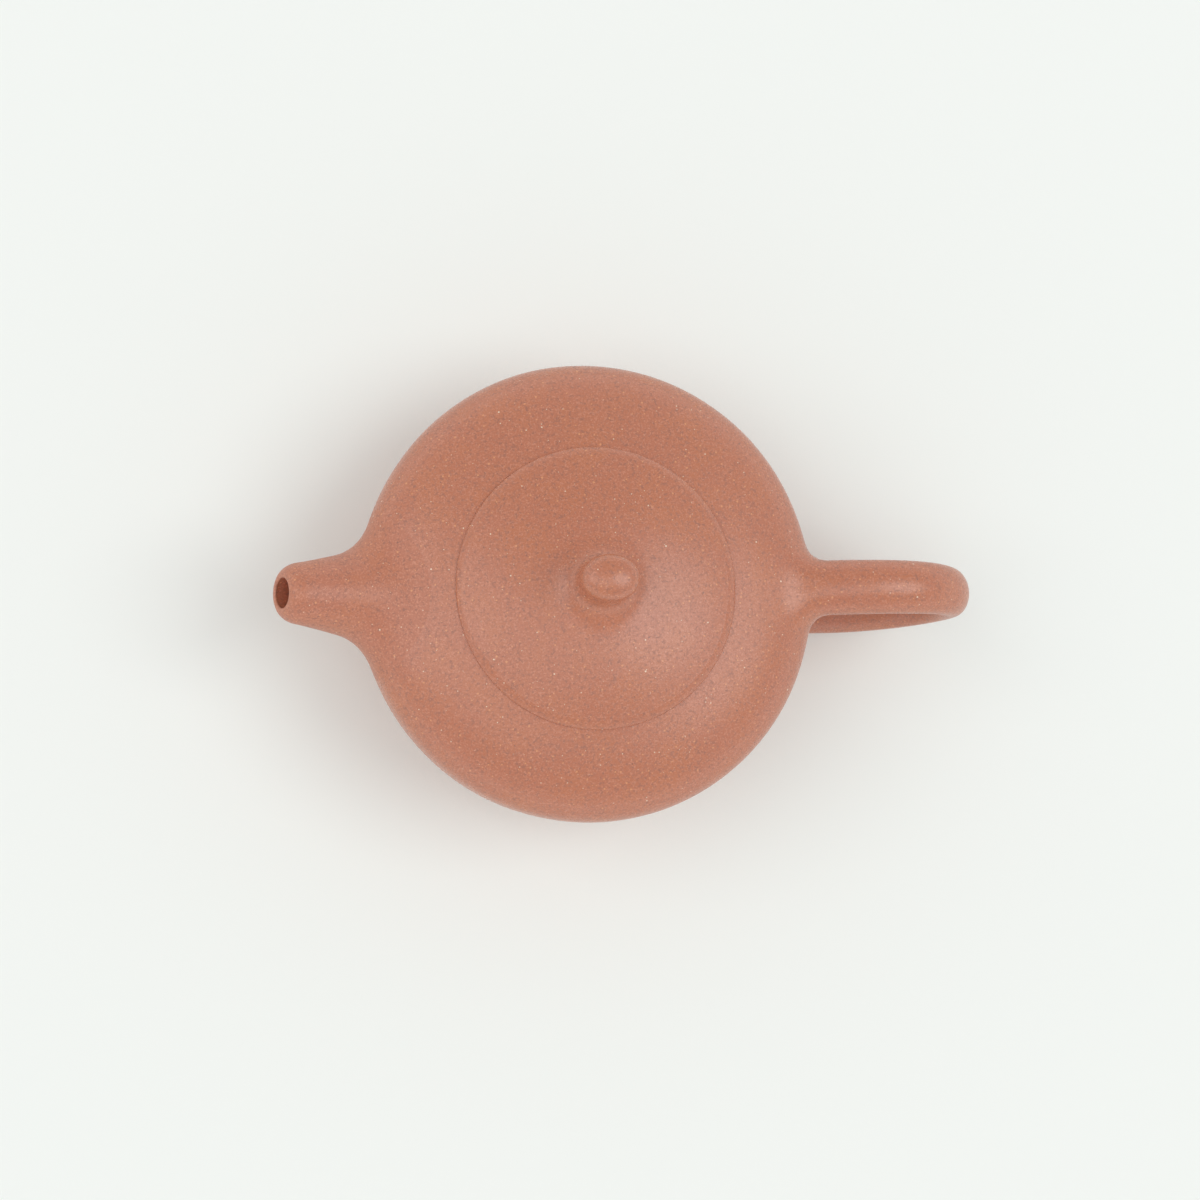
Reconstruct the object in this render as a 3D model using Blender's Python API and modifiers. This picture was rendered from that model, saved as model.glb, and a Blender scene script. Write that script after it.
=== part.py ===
"""Clay teapot: a hand-built pot with a short spout, an ear handle and a lid that lifts off.

The pot stands on z = 0 with +Z up. The spout points along -X and the handle along +X.
Every piece is made as a potter makes it, and is luted to the next one with a thin line of slip.
All sizes are in metres.
"""

import math

import bmesh
import bpy
from mathutils import Matrix, Vector

MM = 0.001

# Pot body, radii from the pot's axis and heights above the table
BELLY_RADIUS = 45.0 * MM
BELLY_HEIGHT = 33.0 * MM
BELLY_FULLNESS = 0.46
WALL = 3.0 * MM
MOUTH_RISE = 11.8 * MM
RIM_EDGE = 0.5 * MM
SHOULDER_TURN = 8.0 * MM
SHOULDER_SLOPE = math.radians(12.0)
SHOULDER_FULLNESS = 0.62
SHOULDER_FLATNESS = 0.5
FOOT_HEIGHT = 2.4 * MM
FOOT_RADIUS = 25.0 * MM
FOOT_WIDTH = 3.4 * MM
FOOT_EDGE = 0.6 * MM
FOOT_STEP = 0.7 * MM
BASE_EDGE_HEIGHT = 2.0 * MM
BASE_SLOPE = math.radians(40.0)
BASE_FULLNESS = 0.42

# Lid: its edge lies flush over the mouth's edge, and its flange drops inside the mouth
LID_RADIUS = 27.5 * MM
LID_PLATE_THICKNESS = 1.2 * MM
LID_RISE = 5.3 * MM
LID_THICKNESS = 3.1 * MM
LID_EDGE_ROUND = 0.9 * MM
LID_EDGE_SLOPE = math.radians(18.0)
LID_FULLNESS = 0.31
LID_FLATNESS = 0.32
FLANGE_DEPTH = 6.5 * MM
FLANGE_THICKNESS = 2.3 * MM
RIM_WIDTH = 3.1 * MM
LID_LAND = 6.4 * MM

# Knob: a bead on a flared neck
KNOB_RADIUS = 4.6 * MM
KNOB_BEAD_HEIGHT = 7.6 * MM
KNOB_NECK_RADIUS = 3.2 * MM
KNOB_NECK_HEIGHT = 4.8 * MM
KNOB_FLARE_RADIUS = 13.0 * MM
KNOB_FLARE_EDGE = 0.35 * MM

# Spout: a bent cone that spreads out on to the wall and ends in a round lip
SPOUT_EXTENSION = 16.5 * MM
SPOUT_TIP_RISE = 7.2 * MM
SPOUT_TIP_SLOPE = math.radians(18.0)
SPOUT_ROOT_RISE = 0.8 * MM
SPOUT_ROOT_SLOPE = math.radians(22.0)
SPOUT_LIP_RADIUS = 5.5 * MM
SPOUT_ROOT_RADIUS = 9.3 * MM
SPOUT_TAPER = 1.2
SPOUT_FLARE = 2.0 * MM
SPOUT_LIP_ROUND = 1.8 * MM
SPOUT_LIP_LENGTH = 3.2 * MM
BORE_TIP_RADIUS = 3.0 * MM
BORE_ROOT_RADIUS = 6.2 * MM

# Strainer: a pierced dome luted over the pour hole, inside the pot
STRAINER_MARGIN = 3.2 * MM
STRAINER_WALL = 1.6 * MM
STRAINER_HOLE_RADIUS = 0.85 * MM
STRAINER_RING_ANGLE = math.radians(24.0)
STRAINER_RING_COUNT = 3
STRAINER_RING_HOLES = 6
STRAINER_RING_TURN = 0.43

# Handle: an ear of oval section, slimmer at its back and spread at its roots
HANDLE_EXTENSION = 34.0 * MM
HANDLE_TOP_RISE = 6.3 * MM
HANDLE_LOW_HEIGHT = 8.8 * MM
HANDLE_WIDTH = 10.8 * MM
HANDLE_THICKNESS = 8.0 * MM
HANDLE_WAIST = 0.84
HANDLE_ROOT_FLARE = 1.35

# Clearances: a line of slip between luted pieces, and the lid's play
LUTE_GAP = 0.3 * MM
LID_GAP = 0.3 * MM
FLANGE_CLEARANCE = 0.4 * MM
CUT_WELD = 0.02 * MM

# Facets
TURN_STEPS = 56
SMALL_TURN_STEPS = 32
TUBE_SIDES = 20
CURVE_POINTS = 6
SHORT_CURVE_POINTS = 4

# Clay
CLAY_COLOUR = (0.48, 0.21, 0.135, 1.0)
CLAY_INSIDE_COLOUR = (0.42, 0.18, 0.115, 1.0)
CLAY_ROUGHNESS = 0.62

# Derived sizes
RIM_TOP = BELLY_HEIGHT + MOUTH_RISE
MOUTH_RADIUS = LID_RADIUS - RIM_WIDTH
SHOULDER_JOINT_RADIUS = BELLY_RADIUS - min(SHOULDER_TURN, 0.6 * (BELLY_RADIUS - LID_RADIUS))
LID_SEAT = RIM_TOP + LID_GAP
LID_TOP = LID_SEAT + LID_RISE
HANDLE_REACH = BELLY_RADIUS + HANDLE_EXTENSION
SPOUT_REACH = BELLY_RADIUS + SPOUT_EXTENSION
STRAINER_RADIUS = BORE_ROOT_RADIUS + STRAINER_MARGIN


def bezier(points, t):
    """The point at t of a cubic curve in the (radius, height) plane."""
    a, b, c, d = (Vector(p) for p in points)
    s = 1.0 - t
    return a * s**3 + b * 3 * s * s * t + c * 3 * s * t * t + d * t**3


def stretch(points, start, end, count):
    """Points along a cubic curve from parameter start to end."""
    return [bezier(points, start + (end - start) * i / count) for i in range(count + 1)]


def parameter_at(points, axis, value):
    """The parameter where a curve that runs one way along an axis reaches a value."""
    low, high = 0.0, 1.0
    rising = points[3][axis] > points[0][axis]
    for _ in range(50):
        middle = (low + high) / 2
        if (bezier(points, middle)[axis] < value) == rising:
            low = middle
        else:
            high = middle
    return low


def parameter_past(points, t, distance):
    """The parameter a short distance further along the curve."""
    step = 1e-4
    speed = (bezier(points, t + step) - bezier(points, t - step)).length / (2 * step)
    return t + distance / speed


def moved_out(line, distance):
    """Profile points that run up the outer side, moved along their outward normals."""
    moved = []
    for i, point in enumerate(line):
        along = (line[min(i + 1, len(line) - 1)] - line[max(i - 1, 0)]).normalized()
        moved.append(point + Vector((along.y, -along.x)) * distance)
    return moved


BELLY_FOOT = Vector((FOOT_RADIUS + FOOT_STEP, FOOT_HEIGHT + LUTE_GAP))
BELLY_EDGE = Vector((BELLY_RADIUS, BELLY_HEIGHT))
BELLY_LINE = (
    BELLY_FOOT,
    BELLY_FOOT + Vector((math.cos(BASE_SLOPE), math.sin(BASE_SLOPE))) * BASE_FULLNESS * BELLY_HEIGHT,
    BELLY_EDGE - Vector((0.0, BELLY_FULLNESS * BELLY_HEIGHT)),
    BELLY_EDGE,
)
MOUTH_EDGE = Vector((LID_RADIUS, RIM_TOP - RIM_EDGE))
SHOULDER_WAY = Vector((math.cos(SHOULDER_SLOPE), -math.sin(SHOULDER_SLOPE)))
SHOULDER_LINE = (
    BELLY_EDGE,
    BELLY_EDGE + Vector((0.0, SHOULDER_FULLNESS * MOUTH_RISE)),
    MOUTH_EDGE + SHOULDER_WAY * SHOULDER_FLATNESS * (BELLY_RADIUS - LID_RADIUS),
    MOUTH_EDGE,
)
LID_EDGE = Vector((LID_RADIUS, LID_SEAT + RIM_EDGE))
LID_BROW = Vector((LID_RADIUS - LID_EDGE_ROUND, LID_SEAT + LID_PLATE_THICKNESS))
LID_WAY = Vector((-math.cos(LID_EDGE_SLOPE), math.sin(LID_EDGE_SLOPE)))
LID_EDGE_LINE = (
    LID_EDGE,
    LID_EDGE + Vector((0.0, 0.6 * (LID_BROW.y - LID_EDGE.y))),
    LID_BROW - LID_WAY * 0.5 * LID_EDGE_ROUND,
    LID_BROW,
)
LID_DOME_SEAT = LID_BROW.y + LUTE_GAP
LID_LINE = (
    LID_BROW,
    LID_BROW + LID_WAY * LID_FULLNESS * LID_RADIUS,
    Vector((LID_FLATNESS * LID_RADIUS, LID_TOP)),
    Vector((0.0, LID_TOP)),
)
BASE_JOINT = parameter_at(BELLY_LINE, 1, BELLY_FOOT.y + BASE_EDGE_HEIGHT)
SHOULDER_JOINT = parameter_at(SHOULDER_LINE, 0, SHOULDER_JOINT_RADIUS)


def whole_outside():
    """The pot's outer line from the foot up to the mouth's edge."""
    belly = stretch(BELLY_LINE, 0.0, 1.0, 2 * CURVE_POINTS)
    return belly + stretch(SHOULDER_LINE, 0.0, 1.0, 2 * CURVE_POINTS)[1:]


def clay(name, colour):
    """Unglazed stoneware."""
    material = bpy.data.materials.new(name)
    material.use_nodes = True
    surface = material.node_tree.nodes["Principled BSDF"]
    surface.inputs["Base Color"].default_value = colour
    surface.inputs["Roughness"].default_value = CLAY_ROUGHNESS
    surface.inputs["Metallic"].default_value = 0.0
    return material


def placed(name, data, collection, parent):
    obj = bpy.data.objects.new(name, data)
    collection.objects.link(obj)
    obj.parent = parent
    return obj


def as_cutter(obj):
    obj.hide_render = True
    obj.display_type = "WIRE"
    return obj


def turned(name, line, collection, parent, closed=True, steps=TURN_STEPS):
    """A solid turned about Z from a line that starts at the top and runs down its outer side.

    A closed line makes a ring, and an open one starts and ends on the axis.
    """
    mesh = bpy.data.meshes.new(name)
    edges = [(i, i + 1) for i in range(len(line) - 1)]
    if closed:
        edges.append((len(line) - 1, 0))
    mesh.from_pydata([(p[0], 0.0, p[1]) for p in line], edges, [])
    obj = placed(name, mesh, collection, parent)
    screw = obj.modifiers.new("Turn", "SCREW")
    screw.axis = "Z"
    screw.angle = 2 * math.pi
    screw.steps = screw.render_steps = steps
    screw.use_merge_vertices = True
    screw.merge_threshold = 0.01 * MM
    screw.use_smooth_shade = True
    return obj


def swept(name, stations, radii, collection, parent, section=None):
    """A tube in the XZ plane through stations (x, z), each with its own radius, as a welded mesh.

    Without a section outline it is round, and with one the radius scales that outline.
    """
    curve = bpy.data.curves.new(name + "_path", "CURVE")
    curve.dimensions = "2D"
    curve.fill_mode = "NONE"
    curve.use_fill_caps = True
    spline = curve.splines.new("POLY")
    spline.points.add(len(stations) - 1)
    for point, (x, z), radius in zip(spline.points, stations, radii):
        point.co = (x, z, 0.0, 1.0)
        point.radius = radius
    if section is None:
        curve.bevel_depth = 1.0
        curve.bevel_resolution = TUBE_SIDES // 4 - 1
    else:
        curve.bevel_mode = "OBJECT"
        curve.bevel_object = section
    path = placed(name + "_path", curve, collection, parent)
    path.rotation_euler.x = math.pi / 2
    bpy.context.view_layer.update()
    evaluated = path.evaluated_get(bpy.context.evaluated_depsgraph_get())
    mesh = bpy.data.meshes.new_from_object(evaluated)
    mesh.name = name
    welded = bmesh.new()
    welded.from_mesh(mesh)
    bmesh.ops.remove_doubles(welded, verts=welded.verts, dist=0.001 * MM)
    bmesh.ops.recalc_face_normals(welded, faces=welded.faces)
    welded.to_mesh(mesh)
    welded.free()
    mesh.shade_smooth()
    tube = placed(name, mesh, collection, parent)
    tube.matrix_world = path.matrix_world
    bpy.data.objects.remove(path)
    return tube


def boolean(obj, other, operation):
    modifier = obj.modifiers.new(operation.title() + "_" + other.name, "BOOLEAN")
    modifier.operation = operation
    modifier.object = other


def weld_cut_edges(obj):
    """Close up the hair-thin slivers that a cut can leave."""
    weld = obj.modifiers.new("Weld", "WELD")
    weld.merge_threshold = CUT_WELD


def make_core(name, distance, cutters, parent):
    """The whole body as one solid, grown or shrunk by a distance, as a cutter."""
    outside = moved_out(whole_outside(), distance)[::-1]
    line = [Vector((0.0, outside[0].y)), *outside, Vector((0.0, outside[-1].y))]
    return as_cutter(turned(name, line, cutters, parent, closed=False))


def make_base_disc(collection, parent):
    """The slab that closes the pot's bottom. Its rim is bevelled to take the wall."""
    rim = stretch(BELLY_LINE, 0.0, BASE_JOINT, 2)
    seat = moved_out(rim, -WALL)[-1]
    line = [Vector((0.0, seat.y)), seat] + rim[::-1] + [Vector((0.0, BELLY_FOOT.y))]
    return turned("base_disc", line, collection, parent, closed=False)


def make_foot_ring(collection, parent):
    """The low ring that the pot stands on."""
    inside = FOOT_RADIUS - FOOT_WIDTH
    line = [
        Vector((FOOT_RADIUS, FOOT_HEIGHT)),
        Vector((FOOT_RADIUS, FOOT_EDGE)),
        Vector((FOOT_RADIUS - FOOT_EDGE, 0.0)),
        Vector((inside + FOOT_EDGE, 0.0)),
        Vector((inside, FOOT_EDGE)),
        Vector((inside, FOOT_HEIGHT)),
    ]
    return turned("foot_ring", line, collection, parent)


def make_body_wall(collection, parent, bore):
    """The beaten slab wall from the base over the widest line to the shoulder, with the pour hole."""
    start = parameter_past(BELLY_LINE, BASE_JOINT, LUTE_GAP)
    outside = stretch(BELLY_LINE, start, 1.0, CURVE_POINTS)
    outside += stretch(SHOULDER_LINE, 0.0, SHOULDER_JOINT, CURVE_POINTS)[1:]
    line = outside[::-1] + moved_out(outside, -WALL)
    wall = turned("body_wall", line, collection, parent)
    boolean(wall, bore, "DIFFERENCE")
    weld_cut_edges(wall)
    return wall


def make_shoulder_ring(collection, parent):
    """The top slab, with the mouth cut through it and a flat rim for the lid."""
    start = parameter_past(SHOULDER_LINE, SHOULDER_JOINT, LUTE_GAP)
    outside = stretch(SHOULDER_LINE, start, 1.0, SHORT_CURVE_POINTS)
    inside = moved_out(outside, -WALL)
    underside = inside[-1].y
    line = [Vector((MOUTH_RADIUS + RIM_EDGE, RIM_TOP)), Vector((LID_RADIUS - RIM_EDGE, RIM_TOP))]
    line += outside[::-1] + inside
    line += [
        Vector((MOUTH_RADIUS + RIM_EDGE, underside)),
        Vector((MOUTH_RADIUS, underside + RIM_EDGE)),
        Vector((MOUTH_RADIUS, RIM_TOP - RIM_EDGE)),
    ]
    return turned("shoulder_ring", line, collection, parent)


def make_lid_plate(collection, parent):
    """The flat ring under the lid's dome, with the lid's rounded edge.

    It rests on the mouth's rim and carries the flange.
    """
    inner = LID_RADIUS - LID_LAND
    line = stretch(LID_EDGE_LINE, 0.0, 1.0, SHORT_CURVE_POINTS)[::-1]
    line += [
        Vector((LID_RADIUS - RIM_EDGE, LID_SEAT)),
        Vector((inner, LID_SEAT)),
        Vector((inner, LID_BROW.y)),
    ]
    return turned("lid_plate", line, collection, parent)


def lid_outside():
    """The lid's dome from its top on the axis out to its edge over the plate."""
    return stretch(LID_LINE, parameter_at(LID_LINE, 1, LID_DOME_SEAT), 1.0, 2 * CURVE_POINTS)[::-1]


def make_lid_dome(collection, parent):
    """The lid's domed slab, hollow underneath."""
    hollow_radius = LID_RADIUS - LID_LAND
    hollow_top = max(LID_TOP - LID_THICKNESS, LID_DOME_SEAT + RIM_EDGE)
    hollow = (
        Vector((hollow_radius, LID_DOME_SEAT)),
        Vector((hollow_radius, LID_DOME_SEAT + 0.5 * (hollow_top - LID_DOME_SEAT))),
        Vector((0.6 * hollow_radius, hollow_top)),
        Vector((0.0, hollow_top)),
    )
    line = lid_outside() + stretch(hollow, 0.0, 1.0, CURVE_POINTS)
    return turned("lid_dome", line, collection, parent, closed=False)


def make_lid_flange(collection, parent):
    """The collar under the lid that keeps it in the mouth."""
    outer = MOUTH_RADIUS - FLANGE_CLEARANCE
    inner = outer - FLANGE_THICKNESS
    top = LID_SEAT - LUTE_GAP
    bottom = top - FLANGE_DEPTH
    line = [
        Vector((outer, top)),
        Vector((outer, bottom + RIM_EDGE)),
        Vector((outer - RIM_EDGE, bottom)),
        Vector((inner + RIM_EDGE, bottom)),
        Vector((inner, bottom + RIM_EDGE)),
        Vector((inner, top)),
    ]
    return turned("lid_flange", line, collection, parent)


def knob_seat():
    """The knob's underside, which follows the dome from the axis out to the flare's edge."""
    dome = lid_outside()
    under = [p for p in dome if p.x < KNOB_FLARE_RADIUS]
    outer = dome[len(under)]
    share = (KNOB_FLARE_RADIUS - under[-1].x) / (outer.x - under[-1].x)
    return [p + Vector((0.0, LUTE_GAP)) for p in [*under, under[-1].lerp(outer, share)]]


def make_knob(collection, parent):
    """The bead that the lid is lifted by, on a neck that flares out on to the dome."""
    seat = knob_seat()
    neck = Vector((KNOB_NECK_RADIUS, seat[0].y + KNOB_NECK_HEIGHT))
    top = Vector((0.0, neck.y + KNOB_BEAD_HEIGHT))
    widest = Vector((KNOB_RADIUS, neck.y + 0.5 * KNOB_BEAD_HEIGHT))
    half = top.y - widest.y
    edge = seat[-1] + Vector((0.0, KNOB_FLARE_EDGE))
    spread = KNOB_FLARE_RADIUS - KNOB_NECK_RADIUS
    fall = (lid_outside()[-1] - lid_outside()[0]).normalized()
    crown = (top, top + Vector((0.55 * KNOB_RADIUS, 0.0)), widest + Vector((0.0, 0.55 * half)), widest)
    waist = (widest, widest - Vector((0.0, 0.6 * half)), neck + Vector((0.0, 0.25 * half)), neck)
    flare = (
        neck,
        neck - Vector((0.0, 0.7 * KNOB_NECK_HEIGHT)),
        edge - fall * 0.6 * spread,
        edge,
    )
    line = stretch(crown, 0.0, 1.0, CURVE_POINTS)
    line += stretch(waist, 0.0, 1.0, SHORT_CURVE_POINTS)[1:]
    line += stretch(flare, 0.0, 1.0, CURVE_POINTS)[1:]
    line += seat[::-1]
    return turned("knob", line, collection, parent, closed=False, steps=SMALL_TURN_STEPS)


def spout_root():
    """Where the spout's centre line leaves the wall, and the way back into the pot from there."""
    root = Vector((-BELLY_RADIUS, BELLY_HEIGHT + SPOUT_ROOT_RISE))
    return root, Vector((math.cos(SPOUT_ROOT_SLOPE), -math.sin(SPOUT_ROOT_SLOPE)))


def spout_tip():
    """The middle of the spout's lip, and the way that it faces."""
    lean = (SPOUT_LIP_RADIUS - SPOUT_LIP_ROUND) * math.sin(SPOUT_TIP_SLOPE)
    tip = Vector((lean - SPOUT_REACH, BELLY_HEIGHT + SPOUT_TIP_RISE))
    return tip, Vector((-math.cos(SPOUT_TIP_SLOPE), math.sin(SPOUT_TIP_SLOPE)))


def spout_line():
    """The spout's centre line from the wall to the lip."""
    root, inward = spout_root()
    tip, outward = spout_tip()
    reach = 0.36 * (tip - root).length
    return stretch((root, root - inward * reach, tip - outward * reach, tip), 0.0, 1.0, 2 * CURVE_POINTS)


def make_spout_bore(collection, parent):
    """The channel from the pot's inside to the lip, as a cutter."""
    root, inward = spout_root()
    tip, outward = spout_tip()
    middle = spout_line()
    last = len(middle) - 1
    stations = [root + inward * (WALL + STRAINER_RADIUS), *middle, tip + outward * SPOUT_LIP_RADIUS]
    taper = [BORE_ROOT_RADIUS + (BORE_TIP_RADIUS - BORE_ROOT_RADIUS) * i / last for i in range(last + 1)]
    return as_cutter(
        swept("spout_bore", stations, [BORE_ROOT_RADIUS, *taper, BORE_TIP_RADIUS], collection, parent)
    )


def make_spout(collection, parent, body_core, bore):
    """The spout: a bent cone, widest where it is luted to the wall, with a lip rounded over."""
    root, inward = spout_root()
    tip, outward = spout_tip()
    middle = spout_line()
    last = len(middle) - 1
    stations = [root + inward * depth * WALL for depth in (3.5, 2.0, 1.0)]
    radii = [SPOUT_ROOT_RADIUS + SPOUT_FLARE * share for share in (1.0, 1.0, 0.6)]
    for i, point in enumerate(middle):
        if (tip - point).length > SPOUT_LIP_LENGTH:
            spread = (SPOUT_ROOT_RADIUS - SPOUT_LIP_RADIUS) * (1.0 - i / last) ** SPOUT_TAPER
            stations.append(point)
            radii.append(SPOUT_LIP_RADIUS + spread)
    for turn in (0.0, 30.0, 60.0, 90.0):
        angle = math.radians(turn)
        stations.append(tip - outward * SPOUT_LIP_LENGTH * (1.0 - math.sin(angle)))
        radii.append(SPOUT_LIP_RADIUS - SPOUT_LIP_ROUND * (1.0 - math.cos(angle)))
    spout = swept("spout", stations, radii, collection, parent)
    boolean(spout, body_core, "DIFFERENCE")
    boolean(spout, bore, "DIFFERENCE")
    weld_cut_edges(spout)
    return spout


def make_strainer(collection, cutters, parent, cavity):
    """A pierced dome over the pour hole. The holes stand square to the dome."""
    root, inward = spout_root()
    centre = root + inward * WALL / math.cos(SPOUT_ROOT_SLOPE)
    inner_radius = STRAINER_RADIUS - STRAINER_WALL
    outer = [Vector((math.sin(a), math.cos(a))) * STRAINER_RADIUS for a in dome_angles()]
    inner = [Vector((math.sin(a), math.cos(a))) * inner_radius for a in dome_angles()]
    line = outer + inner[::-1]
    strainer = turned("strainer", line, collection, parent, closed=False, steps=SMALL_TURN_STEPS)
    strainer.location = (centre.x, 0.0, centre.y)
    strainer.rotation_euler.y = math.atan2(inward.x, inward.y)
    holes = make_strainer_holes(cutters, parent, inner_radius)
    holes.location = strainer.location
    holes.rotation_euler = strainer.rotation_euler
    boolean(strainer, holes, "DIFFERENCE")
    boolean(strainer, cavity, "INTERSECT")
    weld_cut_edges(strainer)
    return strainer


def dome_angles():
    """Angles from the dome's pole to a little past its rim, which the wall then trims."""
    return [math.radians(14.0 * i) for i in range(9)]


def make_strainer_holes(cutters, parent, inner_radius):
    """One round peg for each hole, in rings about the dome's pole."""
    pegs = bmesh.new()
    length = 2 * STRAINER_WALL
    for ring in range(STRAINER_RING_COUNT):
        tilt = Matrix.Rotation(ring * STRAINER_RING_ANGLE, 4, "Y")
        count = max(1, ring * STRAINER_RING_HOLES)
        for i in range(count):
            around = 2 * math.pi * (i + STRAINER_RING_TURN) / count
            turn = Matrix.Rotation(around, 4, "Z") @ tilt @ Matrix.Rotation(STRAINER_RING_TURN, 4, "Z")
            bmesh.ops.create_cone(
                pegs,
                cap_ends=True,
                segments=8,
                radius1=STRAINER_HOLE_RADIUS,
                radius2=STRAINER_HOLE_RADIUS,
                depth=length,
                matrix=turn @ Matrix.Translation((0.0, 0.0, inner_radius + STRAINER_WALL / 2)),
            )
    mesh = bpy.data.meshes.new("strainer_pegs")
    pegs.to_mesh(mesh)
    pegs.free()
    return as_cutter(placed("strainer_pegs", mesh, cutters, parent))


def make_handle_section(cutters, parent):
    """The handle's oval section, as a closed outline for the sweep."""
    outline = bpy.data.curves.new("handle_section", "CURVE")
    outline.dimensions = "2D"
    spline = outline.splines.new("POLY")
    spline.points.add(TUBE_SIDES - 1)
    spline.use_cyclic_u = True
    for i, point in enumerate(spline.points):
        angle = 2 * math.pi * i / TUBE_SIDES
        point.co = (HANDLE_THICKNESS / 2 * math.cos(angle), HANDLE_WIDTH / 2 * math.sin(angle), 0.0, 1.0)
    return as_cutter(placed("handle_section", outline, cutters, parent))


def handle_axis():
    """The ear's centre line: up off the belly, over, out, and back in low on the wall."""
    top = BELLY_HEIGHT + HANDLE_TOP_RISE
    outermost = HANDLE_REACH - HANDLE_WAIST * HANDLE_THICKNESS / 2
    over = BELLY_RADIUS + 0.4 * HANDLE_EXTENSION
    low_wall = bezier(BELLY_LINE, parameter_at(BELLY_LINE, 1, HANDLE_LOW_HEIGHT)).x
    upper_root = Vector((BELLY_RADIUS - 2 * WALL, BELLY_HEIGHT + 0.35 * HANDLE_TOP_RISE))
    crest = Vector((over, top))
    end = Vector((outermost, top - 0.4 * (top - HANDLE_LOW_HEIGHT)))
    floor = Vector((over - 0.1 * HANDLE_EXTENSION, HANDLE_LOW_HEIGHT))
    lower_root = Vector((low_wall - WALL, HANDLE_LOW_HEIGHT + 0.1 * HANDLE_TOP_RISE))
    before_crest = crest - Vector((0.35 * (over - upper_root.x), 0.0))
    past_crest = crest + Vector((0.6 * (outermost - over), 0.0))
    above_end = end + Vector((0.0, 0.55 * (top - end.y)))
    below_end = end - Vector((0.0, 0.6 * (end.y - floor.y)))
    before_floor = floor + Vector((0.55 * (outermost - floor.x), 0.0))
    past_floor = floor - Vector((0.3 * (floor.x - lower_root.x), 0.0))
    arcs = (
        (upper_root, upper_root.lerp(crest, 0.33), before_crest, crest),
        (crest, past_crest, above_end, end),
        (end, below_end, before_floor, floor),
        (floor, past_floor, lower_root.lerp(floor, 0.3), lower_root),
    )
    line = stretch(arcs[0], 0.0, 1.0, CURVE_POINTS)
    for arc in arcs[1:]:
        line += stretch(arc, 0.0, 1.0, CURVE_POINTS)[1:]
    return line


def make_handle(collection, cutters, parent, body_core):
    """The ear handle, spread at both roots where it is luted to the wall."""
    line = handle_axis()
    last = len(line) - 1
    radii = []
    for i in range(len(line)):
        share = i / last
        waist = 1.0 + (HANDLE_WAIST - 1.0) * math.sin(math.pi * share) ** 6
        near_root = max(0.0, 1.0 - min(share, 1.0 - share) / 0.22)
        radii.append(waist * (1.0 + (HANDLE_ROOT_FLARE - 1.0) * near_root**2))
    section = make_handle_section(cutters, parent)
    handle = swept("handle", line, radii, collection, parent, section)
    boolean(handle, body_core, "DIFFERENCE")
    weld_cut_edges(handle)
    return handle


def main():
    for obj in list(bpy.data.objects):
        bpy.data.objects.remove(obj)
    scene = bpy.context.scene.collection
    pieces = bpy.data.collections.new("clay_teapot")
    cutters = bpy.data.collections.new("teapot_cutters")
    scene.children.link(pieces)
    scene.children.link(cutters)
    pot_axis = placed("pot_axis", None, pieces, None)
    lid_axis = placed("lid_axis", None, pieces, pot_axis)

    body_core = make_core("body_core", LUTE_GAP, cutters, pot_axis)
    cavity = make_core("cavity", -WALL - LUTE_GAP, cutters, pot_axis)
    bore = make_spout_bore(cutters, pot_axis)

    outer_clay = clay("clay", CLAY_COLOUR)
    inner_clay = clay("clay_inside", CLAY_INSIDE_COLOUR)
    make_foot_ring(pieces, pot_axis)
    make_base_disc(pieces, pot_axis)
    make_body_wall(pieces, pot_axis, bore)
    make_shoulder_ring(pieces, pot_axis)
    make_spout(pieces, pot_axis, body_core, bore)
    make_strainer(pieces, cutters, pot_axis, cavity)
    make_handle(pieces, cutters, pot_axis, body_core)
    make_lid_plate(pieces, lid_axis)
    make_lid_dome(pieces, lid_axis)
    make_lid_flange(pieces, lid_axis)
    make_knob(pieces, lid_axis)
    inside_pieces = {"strainer", "lid_plate", "lid_flange"}
    for obj in pieces.objects:
        if obj.type == "MESH":
            obj.data.materials.append(inner_clay if obj.name in inside_pieces else outer_clay)

    # The origin lies under the middle of the pot's length, from the spout's lip to the handle's back
    pot_axis.location.x = (SPOUT_REACH - HANDLE_REACH) / 2


main()
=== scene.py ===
import math

import bmesh
import bpy
import numpy as np
from mathutils import Matrix, Vector, noise


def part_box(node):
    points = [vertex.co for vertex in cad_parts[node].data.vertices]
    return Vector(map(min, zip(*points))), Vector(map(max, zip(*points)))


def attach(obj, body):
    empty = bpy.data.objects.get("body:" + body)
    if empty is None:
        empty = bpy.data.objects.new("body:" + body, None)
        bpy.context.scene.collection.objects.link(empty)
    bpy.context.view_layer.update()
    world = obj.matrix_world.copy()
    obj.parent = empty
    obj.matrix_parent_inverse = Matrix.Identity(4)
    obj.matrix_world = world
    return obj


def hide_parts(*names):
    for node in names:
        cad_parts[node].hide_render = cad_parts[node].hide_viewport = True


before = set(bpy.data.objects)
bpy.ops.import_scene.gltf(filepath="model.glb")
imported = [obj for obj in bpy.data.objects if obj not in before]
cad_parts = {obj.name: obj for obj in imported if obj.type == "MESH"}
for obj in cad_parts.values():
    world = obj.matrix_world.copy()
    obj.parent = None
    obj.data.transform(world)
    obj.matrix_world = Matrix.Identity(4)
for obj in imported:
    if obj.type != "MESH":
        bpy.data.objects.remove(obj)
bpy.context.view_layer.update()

mm = 0.001
fineStep = 0.1 * mm  # between the points of the lines that other pieces are set on
fineCount = 200
tiny = 1e-7

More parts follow.
